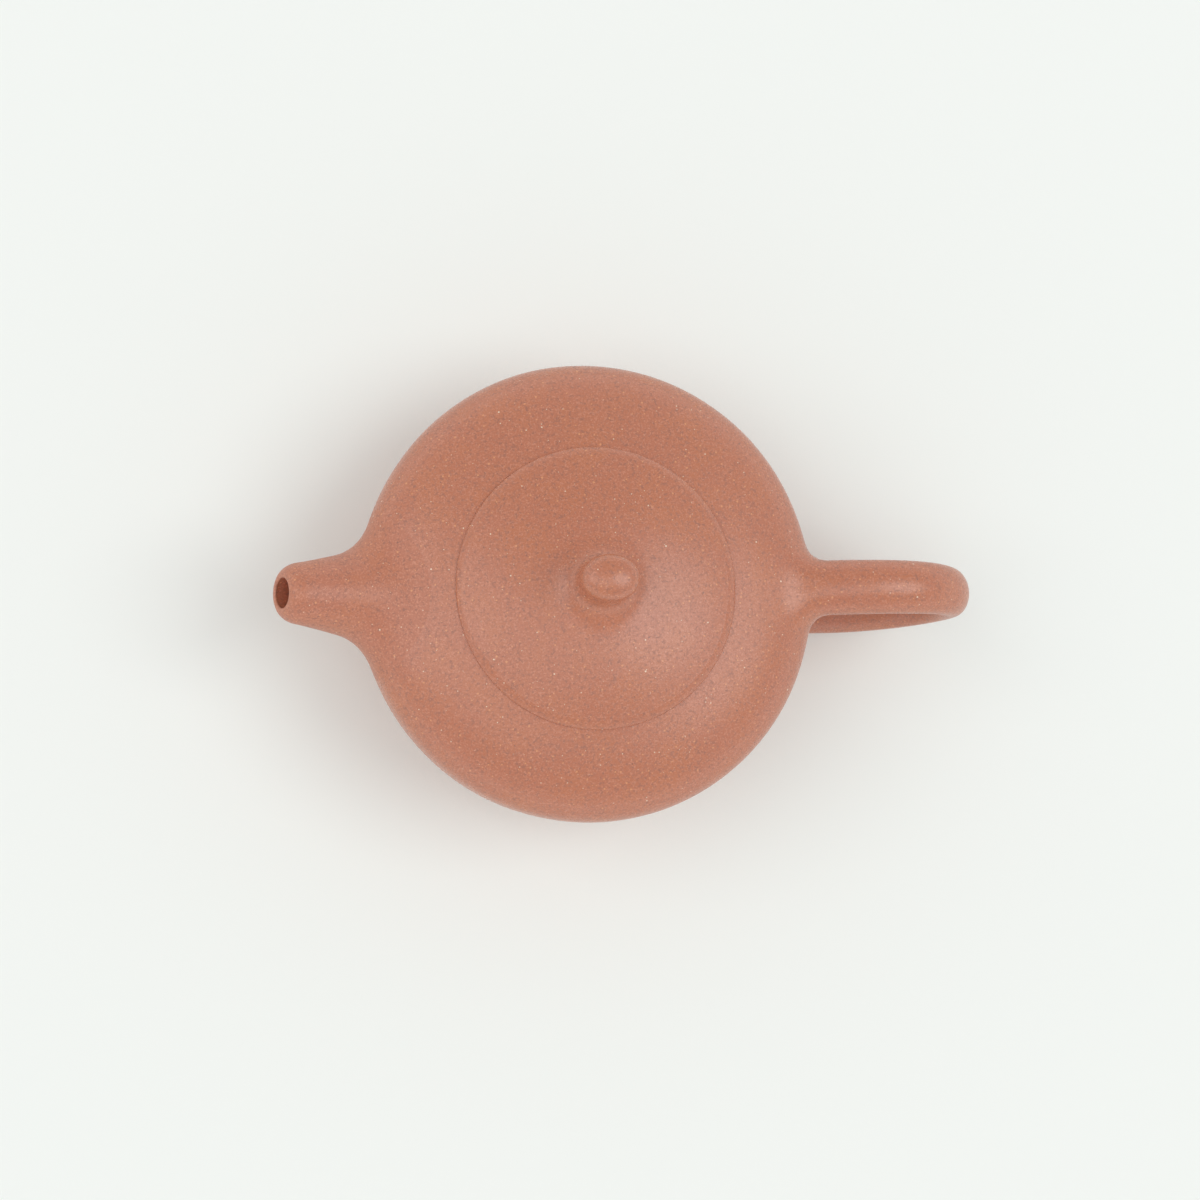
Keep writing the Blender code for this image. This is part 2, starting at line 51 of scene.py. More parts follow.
# the pot's main places, read from the solids
wallLow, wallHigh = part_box("body_wall")
axisX = (wallLow.x + wallHigh.x) / 2
bellyRadius = (wallHigh.y - wallLow.y) / 2
footRadius = (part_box("foot_ring")[1].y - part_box("foot_ring")[0].y) / 2
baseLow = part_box("base_disc")[0].z
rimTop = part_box("shoulder_ring")[1].z
lidRadius = (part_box("lid_plate")[1].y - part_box("lid_plate")[0].y) / 2
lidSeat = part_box("lid_plate")[0].z
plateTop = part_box("lid_plate")[1].z
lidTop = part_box("lid_dome")[1].z
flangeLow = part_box("lid_flange")[0].z
flangeRadius = (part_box("lid_flange")[1].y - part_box("lid_flange")[0].y) / 2
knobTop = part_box("knob")[1].z
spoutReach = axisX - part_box("spout")[0].x
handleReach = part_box("handle")[1].x - axisX
print("frame: belly", round(2000 * bellyRadius, 1), "mm across, lid", round(2000 * lidRadius, 1), "mm")


# lines, in (radius, height) about the pot's axis

def curve(points, count=40):
    a, b, c, d = (np.array(p, float) for p in points)
    t = np.linspace(0.0, 1.0, count + 1)[:, None]
    s = 1.0 - t
    return a * s**3 + 3 * b * s * s * t + 3 * c * s * t * t + d * t**3


def lengthsAlong(line):
    return np.concatenate([[0.0], np.cumsum(np.linalg.norm(np.diff(line, axis=0), axis=1))])


def evenly(line, spacing):
    along = lengthsAlong(line)
    places = np.linspace(0.0, along[-1], max(2, round(along[-1] / spacing)) + 1)
    return np.stack([np.interp(places, along, column) for column in line.T], axis=1)


def joined(*lines):
    return np.concatenate([lines[0]] + [line[1:] for line in lines[1:]])


def sideNormals(line):
    # to the right of a line that runs upwards, which is away from the axis
    along = np.gradient(line, axis=0)
    along /= np.linalg.norm(along, axis=1)[:, None]
    return np.stack([along[:, 1], -along[:, 0]], axis=1)


cornerShares = (0.45, 0.55)  # where a rounding's handles lie, between its cut and its corner


def rounded(corners, count=5):
    # an outline through (radius, height, cut): each corner is rounded off over its cut
    line = []
    nearCut, nearCorner = cornerShares
    places = np.array([c[:2] for c in corners], float)
    for i, (place, cut) in enumerate(zip(places, (c[2] for c in corners))):
        before = places[i - 1] - place
        after = places[(i + 1) % len(places)] - place
        if cut == 0.0:
            line.append(place)
            continue
        start = place + before / np.linalg.norm(before) * cut
        end = place + after / np.linalg.norm(after) * cut
        line.extend(curve((
            start,
            start * nearCut + place * nearCorner,
            end * nearCut + place * nearCorner,
            end,
        ), count))
    return np.array(line)


# pieces

sharpEdge = math.radians(40.0)  # edges that turn by more than this aren't shaded smooth


def shaped(name, points, faces):
    mesh = bpy.data.meshes.new(name)
    mesh.from_pydata([tuple(p) for p in points], [], faces)
    tidy = bmesh.new()
    tidy.from_mesh(mesh)
    bmesh.ops.recalc_face_normals(tidy, faces=tidy.faces)
    tidy.to_mesh(mesh)
    tidy.free()
    piece = bpy.data.objects.new(name, mesh)
    bpy.context.scene.collection.objects.link(piece)
    return piece


def makePiece(name, points, faces, body, nodes, finish):
    return dressed(shaped(name, points, faces), body, nodes, finish)


def cutPiece(piece, cutter):
    # cuts a piece for good, and throws the cutter away
    cut = piece.modifiers.new("cut", "BOOLEAN")
    cut.operation = "DIFFERENCE"
    cut.object = cutter
    bpy.context.view_layer.update()
    done = bpy.data.meshes.new_from_object(piece.evaluated_get(bpy.context.evaluated_depsgraph_get()))
    piece.modifiers.clear()
    done.name = piece.data.name
    piece.data = done
    bpy.data.objects.remove(cutter)


def dressed(piece, body, nodes, finish):
    piece.location.x = axisX
    mesh = piece.data
    mesh.shade_smooth()
    mesh.set_sharp_from_angle(angle=sharpEdge)
    mesh.materials.clear()
    mesh.materials.append(finish)
    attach(piece, body)
    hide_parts(*nodes)
    print("piece:", piece.name, len(mesh.polygons), "faces")
    return piece


byHand = {
    "size": 17 * mm,
    "amount": 0.10 * mm,
    "seed": 5,
    "mouthShift": Vector((-0.45 * mm, -0.25 * mm, 0.0)),  # the mouth and its lid stand off the axis
}
noise.seed_set(byHand["seed"])  # unset, the wander would change from run to run


def unevenByHand(points):
    # a slow wander of the whole surface, the same for pieces that meet
    moved = []
    for p in points:
        place = Vector(p)
        wander = noise.noise_vector(place / byHand["size"])
        above = (place.z - body["height"]) / (rimTop - body["height"])
        inside = (bellyRadius - place.xy.length) / (bellyRadius - lidRadius)
        share = min(max(above, 0.0), 1.0) * min(max(inside, 0.0), 1.0)
        moved.append(place + wander * byHand["amount"] + byHand["mouthShift"] * share)
    return moved


turning = {"steps": 240, "spacing": 0.6 * mm}


def turnedFaces(line, steps):
    # a closed outline makes a ring, and one that starts and ends on the axis makes a disc
    angles = np.arange(steps) * 2 * np.pi / steps
    points, rows = [], []
    for radius, height in line:
        if radius < tiny:
            rows.append([len(points)] * steps)
            points.append((0.0, 0.0, height))
        else:
            rows.append(list(range(len(points), len(points) + steps)))
            points.extend(np.column_stack([
                radius * np.cos(angles), radius * np.sin(angles), np.full(steps, height)]))
    if line[0][0] > tiny:
        rows.append(rows[0])
    faces = []
    for upper, lower in zip(rows, rows[1:]):
        for k in range(steps):
            n = (k + 1) % steps
            corners = [upper[k], lower[k], lower[n], upper[n]]
            face = [c for i, c in enumerate(corners) if c not in corners[:i]]
            if len(face) > 2:
                faces.append(face)
    return points, faces


def turnedPiece(name, line, body, nodes, finish):
    points, faces = turnedFaces(line, turning["steps"])
    return makePiece(name, unevenByHand(points), faces, body, nodes, finish)


def ringFaces(rings, closed):
    # rings of points, each round the piece, joined one to the next
    count, sides = rings.shape[:2]
    faces = []
    for i in range(count if closed else count - 1):
        here, there = i * sides, ((i + 1) % count) * sides
        for k in range(sides):
            n = (k + 1) % sides
            faces.append([here + k, here + n, there + n, there + k])
    if not closed:
        faces.append(list(range(sides)))
        faces.append(list(range((count - 1) * sides, count * sides)))
    return faces


# clay

def addNode(tree, kind, values=None, links=None, **settings):
    made = tree.nodes.new(kind)
    for key, value in settings.items():
        setattr(made, key, value)
    for key, value in (values or {}).items():
        made.inputs[key].default_value = value
    for key, source in (links or {}).items():
        tree.links.new(source, made.inputs[key])
    return made


def mixColours(tree, factor, low, high, blend="MIX"):
    mixer = addNode(tree, "ShaderNodeMix", data_type="RGBA", blend_type=blend)
    for socket, source in (("Factor_Float", factor), ("A_Color", low), ("B_Color", high)):
        entry = next(s for s in mixer.inputs if s.identifier == socket)
        if isinstance(source, (tuple, float)):
            entry.default_value = source
        else:
            tree.links.new(source, entry)
    return next(s for s in mixer.outputs if s.identifier == "Result_Color")


def ramp(tree, source, low, high, start=0.0, end=1.0):
    return addNode(tree, "ShaderNodeMapRange",
                   {"From Min": low, "From Max": high, "To Min": start, "To Max": end},
                   {"Value": source}, interpolation_type="SMOOTHSTEP").outputs["Result"]


grains = {"smallest": 0.5, "sizeRange": 0.7, "softEdge": 0.55}  # as shares of a grain's size


def specks(tree, place, scale, share, size, shift):
    # grains in the clay: one in a share of the cells, each of its own size
    moved = addNode(tree, "ShaderNodeVectorMath", {1: shift}, {0: place}, operation="ADD").outputs["Vector"]
    cells = addNode(tree, "ShaderNodeTexVoronoi", {"Scale": scale}, {"Vector": moved})
    parts = addNode(tree, "ShaderNodeSeparateColor", links={"Color": cells.outputs["Color"]})
    chosen = addNode(tree, "ShaderNodeMath", {1: share}, {0: parts.outputs["Red"]},
                     operation="LESS_THAN").outputs["Value"]
    reach = addNode(tree, "ShaderNodeMath", {1: size * grains["sizeRange"], 2: size * grains["smallest"]},
                    {0: parts.outputs["Green"]}, operation="MULTIPLY_ADD").outputs["Value"]
    near = addNode(tree, "ShaderNodeMath", links={0: cells.outputs["Distance"], 1: reach},
                   operation="DIVIDE").outputs["Value"]
    grain = ramp(tree, near, 1.0, grains["softEdge"])
    return addNode(tree, "ShaderNodeMath", links={0: grain, 1: chosen},
                   operation="MULTIPLY").outputs["Value"]


clay = {
    "colour": (0.468, 0.164, 0.092, 1.0),
    "warm": (0.510, 0.180, 0.080, 1.0),  # where the fire was hotter
    "ash": (0.350, 0.136, 0.086, 1.0),  # grey grains
    "rose": (0.575, 0.234, 0.146, 1.0),  # pale grains
    "cream": (0.800, 0.620, 0.460, 1.0),
    "orange": (0.700, 0.310, 0.150, 1.0),
    "iron": (0.130, 0.080, 0.070, 1.0),
    # noise: scale, detail, roughness
    "fire": (130.0, 3.0, 0.55),
    "sand": (1500.0, 3.0, 0.65),
    "grain": (2700.0, 2.0, 0.6),
    # noise, where its tint begins and is full, how strong it is, and its colour
    "tints": (
        ("fire", 0.38, 0.68, 0.4, "warm"),
        ("sand", 0.47, 0.68, 1.0, "ash"),
        ("grain", 0.48, 0.70, 0.95, "rose"),
    ),
    # colour, cells to a metre, share of them with a speck, size in a cell, strength, and shift of the cells
    "specks": (
        ("orange", 900.0, 0.6, 0.21, 0.8, (0.0, 0.0, 0.0)),
        ("cream", 950.0, 0.32, 0.13, 0.85, (0.71, 0.23, 0.59)),
        ("cream", 620.0, 0.15, 0.12, 1.0, (0.21, 0.47, 0.13)),
        ("iron", 700.0, 0.15, 0.13, 0.6, (0.53, 0.11, 0.37)),
    ),
    "shadeTint": (0.97, 0.95),  # green and blue of a shaded finish, beside its red
    "roughness": 0.30,
    "roughnessSand": (0.3, 0.7),  # over this stretch of the sand's noise
    "roughnessRange": (-0.05, 0.08),  # it is smoother and rougher by this
    "gloss": 0.70,
    "bump": 0.3,
    "bumpHeight": 0.06 * mm,
    "sandBump": 0.6,  # beside the grain's
}


def clayFinish(name, shade=1.0, roughness=clay["roughness"], bump=clay["bump"]):
    material = bpy.data.materials.new(name)
    material.use_nodes = True
    tree = material.node_tree
    surface = tree.nodes["Principled BSDF"]
    place = addNode(tree, "ShaderNodeTexCoord").outputs["Object"]

    def cloud(kind):
        scale, detail, rough = clay[kind]
        return addNode(tree, "ShaderNodeTexNoise", {"Scale": scale, "Detail": detail, "Roughness": rough},
                       {"Vector": place}).outputs["Fac"]

    clouds = {kind: cloud(kind) for kind in ("fire", "sand", "grain")}
    colour = clay["colour"]
    for kind, begins, full, strength, tint in clay["tints"]:
        colour = mixColours(tree, ramp(tree, clouds[kind], begins, full, 0.0, strength), colour, clay[tint])
    for tint, cells, share, size, strength, shift in clay["specks"]:
        speck = specks(tree, place, cells, share, size, shift)
        if strength != 1.0:
            speck = ramp(tree, speck, 0.0, 1.0, 0.0, strength)
        colour = mixColours(tree, speck, colour, clay[tint])
    if shade != 1.0:
        green, blue = clay["shadeTint"]
        colour = mixColours(tree, 1.0, colour, (shade, shade * green, shade * blue, 1.0), "MULTIPLY")
    tree.links.new(colour, surface.inputs["Base Color"])
    smoother, rougher = clay["roughnessRange"]
    rubbed = ramp(tree, clouds["sand"], *clay["roughnessSand"], roughness + smoother, roughness + rougher)
    tree.links.new(rubbed, surface.inputs["Roughness"])
    surface.inputs["Specular IOR Level"].default_value = clay["gloss"]
    height = addNode(tree, "ShaderNodeMath", {1: clay["sandBump"]}, {0: clouds["sand"], 2: clouds["grain"]},
                     operation="MULTIPLY_ADD").outputs["Value"]
    bumps = addNode(tree, "ShaderNodeBump", {"Strength": bump, "Distance": clay["bumpHeight"]},
                    {"Height": height})
    tree.links.new(bumps.outputs["Normal"], surface.inputs["Normal"])
    return material


outerClay = clayFinish("burnished_clay")
spoutClay = clayFinish("wiped_clay", roughness=0.44)  # smoothed with a wet finger, so it shines less
innerClay = clayFinish("scraped_clay", shade=0.86, roughness=0.68, bump=0.6)
paintedLightChannelClay = clayFinish("channel_clay_painted_light", shade=1.4, roughness=0.75, bump=0.6)  # left rough, and paler than the outside clay: the paler colour is painted light, for light that reaches down into the channel
print("clay: four finishes")


# body: base, wall and shoulder on one smooth line

body = {
    "height": 33.0 * mm,
    "wall": 3.0 * mm,
    "footStep": 0.7 * mm,
    "baseSlope": math.radians(40.0),
    "baseFullness": 0.42,
    "fullness": 0.46,
    "shoulderSlope": math.radians(14.5),
    "shoulderFullness": 0.62,
    "shoulderFlatness": 0.5,
    "shoulderTurn": 8.0 * mm,
    "baseEdge": 2.0 * mm,
    "rimEdge": 0.10 * mm,
    "rimPulls": (2.2, 0.8, 0.1, 0.35),  # how the rim rounds off into the shoulder, in rim edges
    "rimWidth": 3.1 * mm,
    "mouthRound": 0.5 * mm,
    "scrapeDepth": 0.4,  # how deep in the wall the scraped inside starts, as a share of the wall
    "scrapeFloor": 0.1,
}
footPoint = np.array((footRadius + body["footStep"], baseLow))
bellyPoint = np.array((bellyRadius, body["height"]))
mouthPoint = np.array((lidRadius, rimTop - body["rimEdge"]))


def bodyOutline():
    up = np.array((math.cos(body["baseSlope"]), math.sin(body["baseSlope"])))
    along = np.array((math.cos(body["shoulderSlope"]), -math.sin(body["shoulderSlope"])))
    rise = np.array((0.0, 1.0))
    belly = curve((
        footPoint,
        footPoint + up * body["baseFullness"] * body["height"],
        bellyPoint - rise * body["fullness"] * body["height"],
        bellyPoint,
    ), fineCount)
    shoulder = curve((
        bellyPoint,
        bellyPoint + rise * body["shoulderFullness"] * (rimTop - body["height"]),
        mouthPoint + along * body["shoulderFlatness"] * (bellyRadius - lidRadius),
        mouthPoint,
    ), fineCount)
    return evenly(joined(belly, shoulder), fineStep)


bodyLine = bodyOutline()
bodyNormals = sideNormals(bodyLine)


def stretchOf(start, end, depth=0.0):
    # a stretch of the body's line between two of its points, moved in by a depth
    part = bodyLine[start:end + 1] - bodyNormals[start:end + 1] * depth
    return evenly(part, turning["spacing"])


def makeBody():
    baseTop = int(np.argmax(bodyLine[:, 1] > baseLow + body["baseEdge"]))
    past = bodyLine[:, 1] > body["height"]
    shoulderStart = int(np.argmax(past & (bodyLine[:, 0] < bellyRadius - body["shoulderTurn"])))
    last = len(bodyLine) - 1
    mouth = lidRadius - body["rimWidth"]
    edge = body["rimEdge"]
    soft = body["mouthRound"]

    rim = stretchOf(0, baseTop)[::-1]
    seat = bodyLine[baseTop] - bodyNormals[baseTop] * body["wall"]
    disc = np.vstack([[(0.0, seat[1]), seat], rim, [(0.0, baseLow)]])
    scrapeInside(turnedPiece("base", disc, "pot", ["base_disc"], outerClay))

    outside = stretchOf(baseTop, shoulderStart)[::-1]
    inside = stretchOf(baseTop, shoulderStart, body["wall"])
    points, faces = turnedFaces(np.vstack([outside, inside]), turning["steps"])
    belly = shaped("belly", unevenByHand(points), faces)
    cutPiece(belly, pourHole())
    scrapeInside(dressed(belly, "pot", ["body_wall"], outerClay))

    outside = stretchOf(shoulderStart, last)[::-1]
    inside = stretchOf(shoulderStart, last, body["wall"])
    under = inside[-1][1]
    start, pull, back, up = (share * edge for share in body["rimPulls"])
    lip = curve((
        (lidRadius - start, rimTop),
        (lidRadius - pull, rimTop),
        mouthPoint + np.array((-back, up)),
        mouthPoint,
    ), 8)
    opening = rounded([
        (mouth + 2 * soft, under, 0.0),
        (mouth, under, soft),
        (mouth, rimTop, soft),
        (lip[0][0], rimTop, 0.0),
    ])
    ring = np.vstack([lip, outside[1:], inside, opening[1:-1]])
    scrapeInside(turnedPiece("shoulder", ring, "pot", ["shoulder_ring"], outerClay))


def scrapeInside(piece):
    # the faces inside the pot were never burnished
    piece.data.materials.append(innerClay)
    for face in piece.data.polygons:
        inside = nearWall(np.array(face.center)[None])[0][0] < -body["scrapeDepth"] * body["wall"]
        above = face.center.z > baseLow + body["scrapeFloor"] * body["wall"]
        face.material_index = int(inside and above)


foot = {"width": 3.4 * mm, "edge": 0.6 * mm, "taper": 0.4 * mm, "overlap": 0.2 * mm}


def makeFoot():
    inside = footRadius - foot["width"]
    top = baseLow + foot["overlap"]
    outline = rounded([
        (footRadius + foot["taper"], top, 0.0),
        (footRadius, 0.0, foot["edge"]),
        (inside, 0.0, foot["edge"]),
        (inside - foot["taper"], top, 0.0),
    ])
    turnedPiece("foot", outline, "pot", ["foot_ring"], outerClay)


# spout and handle: their clay is drawn out on to the wall

def nearWall(points):
    # signed distance from the wall's outer face, the nearest place on it, and its normal
    radius = np.maximum(np.hypot(points[..., 0], points[..., 1]), tiny)
    flat = np.stack([radius, points[..., 2]], axis=-1).reshape(-1, 2)
    found = np.array([np.argmin(((bodyLine - p) ** 2).sum(axis=1)) for p in flat])
    normal = bodyNormals[found]
    along = np.stack([-normal[:, 1], normal[:, 0]], axis=1)
    nearest = bodyLine[found] + along * ((flat - bodyLine[found]) * along).sum(axis=1)[:, None]
    distance = ((flat - nearest) * normal).sum(axis=1).reshape(radius.shape)
    away = (points[..., :2] / radius[..., None]).reshape(-1, 2)
    shape = points.shape
    place = np.column_stack([away * nearest[:, :1], nearest[:, 1]]).reshape(shape)
    return distance, place, np.column_stack([away * normal[:, :1], normal[:, 1]]).reshape(shape)


def at(line, along, place):
    return np.array([np.interp(place, along, column) for column in line.T])


def sampled(line, start, end, count):
    along = lengthsAlong(line)
    places = np.linspace(start, along[-1] if end is None else end, count)
    return np.stack([np.interp(places, along, column) for column in line.T], axis=1)


feather = {
    "lift": 0.04 * mm,
    "length": 3.0 * mm,
    "steps": 4,
    "depth": 1.2 * mm,
    "pull": 0.62,  # how far the blend keeps its first and its last way
    "probe": 0.2 * mm,
    "kept": 0.02,  # the least share of a line that stays before its blend
}


def drawnOut(line, outwards, reach, spread, count=12):
    # ends a line that runs into the wall: the blend leaves it a reach before the wall, lies down on the wall
    # a spread away from where the line would have met it, and feathers out there. Returns the length of the
    # line that is kept, and the blend
    distance = nearWall(line)[0]
    hit = int(np.argmax(distance < 0.0))
    along = lengthsAlong(line)
    share = distance[hit - 1] / (distance[hit - 1] - distance[hit])
    meets = along[hit - 1] + share * (along[hit] - along[hit - 1])
    leave = max(meets - reach, feather["kept"] * along[-1])
    start = at(line, along, leave)
    heading = at(line, along, leave + feather["probe"]) - start
    heading /= np.linalg.norm(heading)
    aside = at(outwards, along, meets)
    target = at(line, along, meets) + aside * spread
    place, normal = nearWall(target[None])[1:]
    place, normal = place[0], normal[0]
    lying = aside - normal * (aside @ normal)
    lying /= np.linalg.norm(lying)
    landing = place + normal * feather["lift"]
    blend = curve((
        start,
        start + heading * (meets - leave) * feather["pull"],
        landing - lying * spread * feather["pull"],
        landing,
    ), count)
    steps = np.linspace(0.0, 1.0, feather["steps"] + 1)[1:, None]
    tail, tailNormals = nearWall(place + lying * feather["length"] * steps)[1:]
    tail = tail + tailNormals * feather["lift"] * (1.0 - 2.0 * steps)
    buried = tail[-1] - tailNormals[-1] * feather["depth"]
    return leave, np.vstack([blend, tail, [buried]])


spout = {
    "rootRise": 0.8 * mm,
    "rootSlope": math.radians(22.0),
    "tipRise": 7.2 * mm,
    "tipSlope": math.radians(20.0),
    "tipLean": 0.75 * mm,
    "lipRadius": 5.45 * mm,
    "lipRound": (3.2 * mm, 2.2 * mm),  # along the spout, and across its clay
    "rootRadius": 9.0 * mm,
    "taper": 1.25,
    "boreTip": 2.9 * mm,
    "boreRoot": 6.2 * mm,
    "blendReach": 6.5 * mm,
    "blendSpread": 6.5 * mm,
    "bend": 0.36,  # how far its middle line keeps the way of its root and of its tip
    "probe": 0.4 * mm,
    "lipSteps": (10.0, 15.0),  # degrees, over the lip and round into the channel
    "channelGap": 0.3 * mm,  # from the lip's rounding to the channel's first ring
    "channelDepth": 1.2 * mm,  # how far in the wall the channel ends
    "coneRun": (1.7, 140),  # lengths of the spout, and rings, before the wall cuts them off
    "channelRun": (1.6, 80),
    "coneStations": 18,
    "channelStations": 20,
    "lineCount": 120,
    "sides": 120,
    "holeSides": 64,
}


def spoutLine():
    tipWay = np.array((-math.cos(spout["tipSlope"]), math.sin(spout["tipSlope"])))
    rootWay = np.array((-math.cos(spout["rootSlope"]), math.sin(spout["rootSlope"])))
    root = np.array((-bellyRadius, body["height"] + spout["rootRise"]))
    tip = np.array((spout["tipLean"] - spoutReach, body["height"] + spout["tipRise"]))
    reach = spout["bend"] * np.linalg.norm(tip - root)
    line = curve((root, root + rootWay * reach, tip - tipWay * reach, tip), spout["lineCount"])
    deep = root - rootWay * np.linalg.norm(tip - root)
    return np.vstack([np.linspace(deep, root, spout["lineCount"])[:-1], line])


def spoutRoot(depth=0.0):
    # a place at a depth inside the spout's root, turned to look in along it
    inwards = Vector((math.cos(spout["rootSlope"]), 0.0, -math.sin(spout["rootSlope"])))
    root = Vector((-bellyRadius, 0.0, body["height"] + spout["rootRise"]))
    turn = inwards.to_track_quat("Z", "Y").to_matrix().to_4x4()
    return Matrix.Translation(root + inwards * depth) @ turn


def pourHole():
    # a peg through the wall, along the spout's root
    half = 4 * body["wall"]  # well past both faces
    bore = spout["boreRoot"]
    line = [(0.0, -half), (bore, -half), (bore, half), (0.0, half)]
    points, faces = turnedFaces(line, spout["holeSides"])
    place = spoutRoot()
    return shaped("pour_hole", [place @ Vector(p) for p in points], faces)


def spoutRings(places, radii):
    # rings about the middle line, at lengths back from the lip, as (place, side, xyz), and their ways out
    line = spoutLine()[::-1]
    along = lengthsAlong(line)
    middle = np.array([at(line, along, p) for p in places])
    probe = spout["probe"]
    ahead = np.array([at(line, along, p + probe) - at(line, along, max(p - probe, 0.0)) for p in places])
    ahead /= np.linalg.norm(ahead, axis=1)[:, None]
    angles = np.arange(spout["sides"]) * 2 * np.pi / spout["sides"]
    ways = np.stack([
        np.outer(-ahead[:, 1], np.cos(angles)),
        np.outer(np.ones(len(places)), np.sin(angles)),
        np.outer(ahead[:, 0], np.cos(angles)),
    ], axis=2)
    spine = np.stack([middle[:, 0], np.zeros(len(places)), middle[:, 1]], axis=1)
    return spine[:, None, :] + ways * np.asarray(radii)[:, None, None], ways


def makeSpout():
    length = lengthsAlong(spoutLine())[-1] / 2
    roundAlong, roundAcross = spout["lipRound"]
    overStep, inStep = spout["lipSteps"]
    spread = spout["rootRadius"] - spout["lipRadius"]

    def coneRadius(back):
        return spout["lipRadius"] + spread * (np.asarray(back) / length) ** spout["taper"]

    def boreRadius(back):
        return spout["boreTip"] + (spout["boreRoot"] - spout["boreTip"]) * np.asarray(back) / length

    reach, count = spout["coneRun"]
    run = np.linspace(roundAlong, reach * length, count)
    cone, ways = spoutRings(run, coneRadius(run))
    over = np.radians(np.arange(0.0, 91.0, overStep))  # over the lip
    back = roundAlong * (1.0 - np.sin(over))
    edge = coneRadius(back) - roundAcross * (1.0 - np.cos(over))
    inner = edge[-1] - spout["boreTip"]
    turnIn = np.radians(np.arange(inStep, 91.0, inStep))  # and round into the channel
    back = np.concatenate([back, inner * (1.0 - np.cos(turnIn))])
    edge = np.concatenate([edge, spout["boreTip"] + inner * (1.0 - np.sin(turnIn))])
    lip = spoutRings(back, edge)[0]
    reach, count = spout["channelRun"]
    run = np.linspace(inner + spout["channelGap"], reach * length, count)
    bore = spoutRings(run, boreRadius(run))[0]
    rings = []
    for k in range(spout["sides"]):
        kept, blend = drawnOut(cone[:, k], ways[:, k], spout["blendReach"], spout["blendSpread"])
        outer = sampled(cone[:, k], 0.0, kept, spout["coneStations"])
        deep = int(np.argmax(nearWall(bore[:, k])[0] < -spout["channelDepth"]))
        channel = sampled(bore[:deep + 1, k], 0.0, None, spout["channelStations"])
        rings.append(np.vstack([blend[::-1], outer[::-1][1:], lip[1:, k], channel]))
    rings = np.array(rings).transpose(1, 0, 2)
    points = unevenByHand(rings.reshape(-1, 3))
    piece = makePiece("spout_cone", points, ringFaces(rings, True), "pot", ["spout"], spoutClay)
    # the channel's faces take the paler clay, whose extra paleness is painted light reaching into the
    # channel
    piece.data.materials.append(paintedLightChannelClay)
    channelStart = (len(rings) - len(channel)) * spout["sides"]
    for face in piece.data.polygons[channelStart:]:
        face.material_index = 1


handle = {
    "topRise": 6.3 * mm,
    "rootRise": 3.8 * mm,
    "lowHeight": 8.8 * mm,
    "width": 10.8 * mm,
    "thickness": 8.0 * mm,
    "waist": 0.84,  # at the back of the ear
    "waistPower": 6,  # the higher, the shorter the waist
    "crest": 0.4,  # where its top is level, as a share of its reach past the belly
    "back": 0.4,  # where it is plumb, as a share of its height from the top
    "lowShift": 0.1,  # how much nearer to the belly it is level again below
    "lowRise": 0.1,  # how much higher it meets the wall there, as a share of its top's rise
    "pulls": ((0.33, 0.35), (0.6, 0.55), (0.6, 0.55), (0.3, 0.3)),  # how far each arc keeps its ends' ways
    "spacing": 0.4 * mm,
    "roll": math.radians(2.0),  # it was set on by eye, and stands a little askew
    "swing": math.radians(0.6),
    "blendReach": 4.5 * mm,
    "blendSpread": 4.5 * mm,
    "topBlend": 4.5 * mm,  # more of it over the top of the upper root
    "sides": 72,
    "stations": 44,
}


def handleLine():
    top = body["height"] + handle["topRise"]
    low = handle["lowHeight"]
    extension = handleReach - bellyRadius
    outermost = handleReach - handle["waist"] * handle["thickness"] / 2
    over = bellyRadius + handle["crest"] * extension
    lowWall = float(np.interp(low, bodyLine[:, 1], bodyLine[:, 0]))
    upperRoot = np.array((bellyRadius - 2 * body["wall"], body["height"] + handle["rootRise"]))
    crest = np.array((over, top))
    back = np.array((outermost, top - handle["back"] * (top - low)))
    under = np.array((over - handle["lowShift"] * extension, low))
    lowerRoot = np.array((lowWall - body["wall"], low + handle["lowRise"] * handle["topRise"]))
    across, down = np.array((1.0, 0.0)), np.array((0.0, -1.0))
    places = (upperRoot, crest, back, under, lowerRoot)
    ways = (
        (crest - upperRoot, -across * (over - upperRoot[0])),
        (across * (outermost - over), -down * (top - back[1])),
        (down * (back[1] - low), across * (outermost - under[0])),
        (-across * (under[0] - lowerRoot[0]), under - lowerRoot),
    )
    arcs = []
    for start, end, (first, last), pulls in zip(places, places[1:], ways, handle["pulls"]):
        arcs.append(curve((start, start + first * pulls[0], end + last * pulls[1], end)))
    return evenly(joined(*arcs), handle["spacing"])


